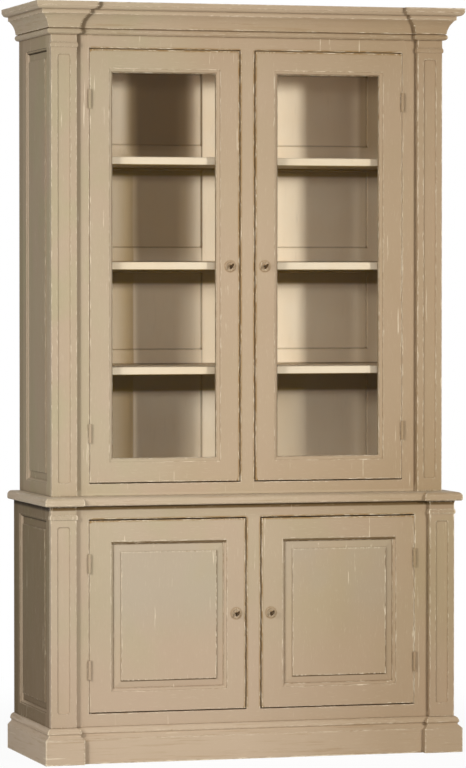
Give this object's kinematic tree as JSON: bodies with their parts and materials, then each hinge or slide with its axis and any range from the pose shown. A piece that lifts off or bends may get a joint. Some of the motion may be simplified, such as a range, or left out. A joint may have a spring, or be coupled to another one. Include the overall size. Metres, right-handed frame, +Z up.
{
  "type": "display cabinet",
  "caption": "Tall two-part display cabinet with glazed doors over display shelves, panelled cupboard doors below, stepped pilasters, moulded cornice and plinth.",
  "frame": {"origin": "on the floor, at the middle of the outer box in plan", "axes": "+X to the viewer's right along the front, +Y from the front to the back, +Z up"},
  "size_m": [1.388, 0.518, 2.35],
  "materials": {
    "outer_paint": "brushed taupe-beige paint over cream, glazed and rubbed through on the edges",
    "inner_paint": "cream paint, matt",
    "glass": "clear 4 mm sheet glass",
    "painted_hinge": "steel butt hinge painted over with the case",
    "lock_steel": "plain steel",
    "key_iron": "darkened iron"
  },
  "bodies": {
    "carcass": {"plinth": "outer_paint", "base_floor": "inner_paint", "base_side_left": "outer_paint", "base_side_right": "outer_paint", "base_back": "inner_paint", "base_face_frame": "outer_paint", "base_pilaster_left": "outer_paint", "base_pilaster_right": "outer_paint", "base_shelf": "inner_paint", "waist_board": "outer_paint", "upper_floor": "inner_paint", "upper_side_left": "outer_paint", "upper_side_right": "outer_paint", "upper_back": "inner_paint", "upper_face_frame": "outer_paint", "upper_pilaster_left": "outer_paint", "upper_pilaster_right": "outer_paint", "cornice": "outer_paint", "upper_top": "inner_paint", "display_shelf_1": "inner_paint", "display_shelf_2": "inner_paint", "display_shelf_3": "inner_paint", "glass_door_left_lower_hinge_frame_leaf": "painted_hinge", "glass_door_left_upper_hinge_frame_leaf": "painted_hinge", "glass_door_right_lower_hinge_frame_leaf": "painted_hinge", "glass_door_right_upper_hinge_frame_leaf": "painted_hinge", "panel_door_left_lower_hinge_frame_leaf": "painted_hinge", "panel_door_left_upper_hinge_frame_leaf": "painted_hinge", "panel_door_right_lower_hinge_frame_leaf": "painted_hinge", "panel_door_right_upper_hinge_frame_leaf": "painted_hinge"},
    "glass_door_left": {"glass_door_left_frame": "outer_paint", "glass_door_left_pane": "glass", "glass_door_left_bead": "inner_paint", "glass_door_left_lock_case": "lock_steel", "glass_door_left_lower_hinge_door_leaf": "painted_hinge", "glass_door_left_upper_hinge_door_leaf": "painted_hinge"},
    "glass_door_left_key": {"glass_door_left_key": "key_iron"},
    "glass_door_left_bolt": {"glass_door_left_bolt": "lock_steel"},
    "glass_door_right": {"glass_door_right_frame": "outer_paint", "glass_door_right_pane": "glass", "glass_door_right_bead": "inner_paint", "glass_door_right_lock_case": "lock_steel", "glass_door_right_lower_hinge_door_leaf": "painted_hinge", "glass_door_right_upper_hinge_door_leaf": "painted_hinge"},
    "glass_door_right_key": {"glass_door_right_key": "key_iron"},
    "glass_door_right_bolt": {"glass_door_right_bolt": "lock_steel"},
    "panel_door_left": {"panel_door_left_frame": "outer_paint", "panel_door_left_panel": "outer_paint", "panel_door_left_lock_case": "lock_steel", "panel_door_left_lower_hinge_door_leaf": "painted_hinge", "panel_door_left_upper_hinge_door_leaf": "painted_hinge"},
    "panel_door_left_key": {"panel_door_left_key": "key_iron"},
    "panel_door_left_bolt": {"panel_door_left_bolt": "lock_steel"},
    "panel_door_right": {"panel_door_right_frame": "outer_paint", "panel_door_right_panel": "outer_paint", "panel_door_right_lock_case": "lock_steel", "panel_door_right_lower_hinge_door_leaf": "painted_hinge", "panel_door_right_upper_hinge_door_leaf": "painted_hinge"},
    "panel_door_right_key": {"panel_door_right_key": "key_iron"},
    "panel_door_right_bolt": {"panel_door_right_bolt": "lock_steel"}
  },
  "joints": [
    {"name": "glass_door_left_swing", "type": "hinge", "parent": "carcass", "child": "glass_door_left", "pos_m": [-0.51, -0.1561, 1.53525], "axis": [0, 0, -1], "range_deg": [0, 150]},
    {"name": "glass_door_left_key_turn", "type": "hinge", "parent": "glass_door_left", "child": "glass_door_left_key", "pos_m": [-0.0565, -0.155, 1.53525], "axis": [0, 1, 0], "range_deg": [0, 180]},
    {"name": "glass_door_left_bolt_slide", "type": "slide", "parent": "glass_door_left", "child": "glass_door_left_bolt", "axis": [1, 0, 0], "range_m": [0, 0.009]},
    {"name": "glass_door_right_swing", "type": "hinge", "parent": "carcass", "child": "glass_door_right", "pos_m": [0.51, -0.1561, 1.53525], "axis": [0, 0, 1], "range_deg": [0, 150]},
    {"name": "glass_door_right_key_turn", "type": "hinge", "parent": "glass_door_right", "child": "glass_door_right_key", "pos_m": [0.0565, -0.155, 1.53525], "axis": [0, -1, 0], "range_deg": [0, 244]},
    {"name": "glass_door_right_bolt_slide", "type": "slide", "parent": "glass_door_right", "child": "glass_door_right_bolt", "axis": [-1, 0, 0], "range_m": [0, 0.009]},
    {"name": "panel_door_left_swing", "type": "hinge", "parent": "carcass", "child": "panel_door_left", "pos_m": [-0.529, -0.2231, 0.453], "axis": [0, 0, -1], "range_deg": [0, 150]},
    {"name": "panel_door_left_key_turn", "type": "hinge", "parent": "panel_door_left", "child": "panel_door_left_key", "pos_m": [-0.0565, -0.222, 0.453], "axis": [0, 1, 0], "range_deg": [0, 180]},
    {"name": "panel_door_left_bolt_slide", "type": "slide", "parent": "panel_door_left", "child": "panel_door_left_bolt", "axis": [1, 0, 0], "range_m": [0, 0.009]},
    {"name": "panel_door_right_swing", "type": "hinge", "parent": "carcass", "child": "panel_door_right", "pos_m": [0.529, -0.2231, 0.453], "axis": [0, 0, 1], "range_deg": [0, 150]},
    {"name": "panel_door_right_key_turn", "type": "hinge", "parent": "panel_door_right", "child": "panel_door_right_key", "pos_m": [0.0565, -0.222, 0.453], "axis": [0, -1, 0], "range_deg": [0, 244]},
    {"name": "panel_door_right_bolt_slide", "type": "slide", "parent": "panel_door_right", "child": "panel_door_right_bolt", "axis": [-1, 0, 0], "range_m": [0, 0.009]}
  ],
  "couplings": [
    {"joint": "glass_door_left_bolt_slide", "follows": "glass_door_left_key_turn", "m_per_rad": 0.002864},
    {"joint": "glass_door_right_bolt_slide", "follows": "glass_door_right_key_turn", "m_per_rad": 0.002113},
    {"joint": "panel_door_left_bolt_slide", "follows": "panel_door_left_key_turn", "m_per_rad": 0.002864},
    {"joint": "panel_door_right_bolt_slide", "follows": "panel_door_right_key_turn", "m_per_rad": 0.002113}
  ]
}
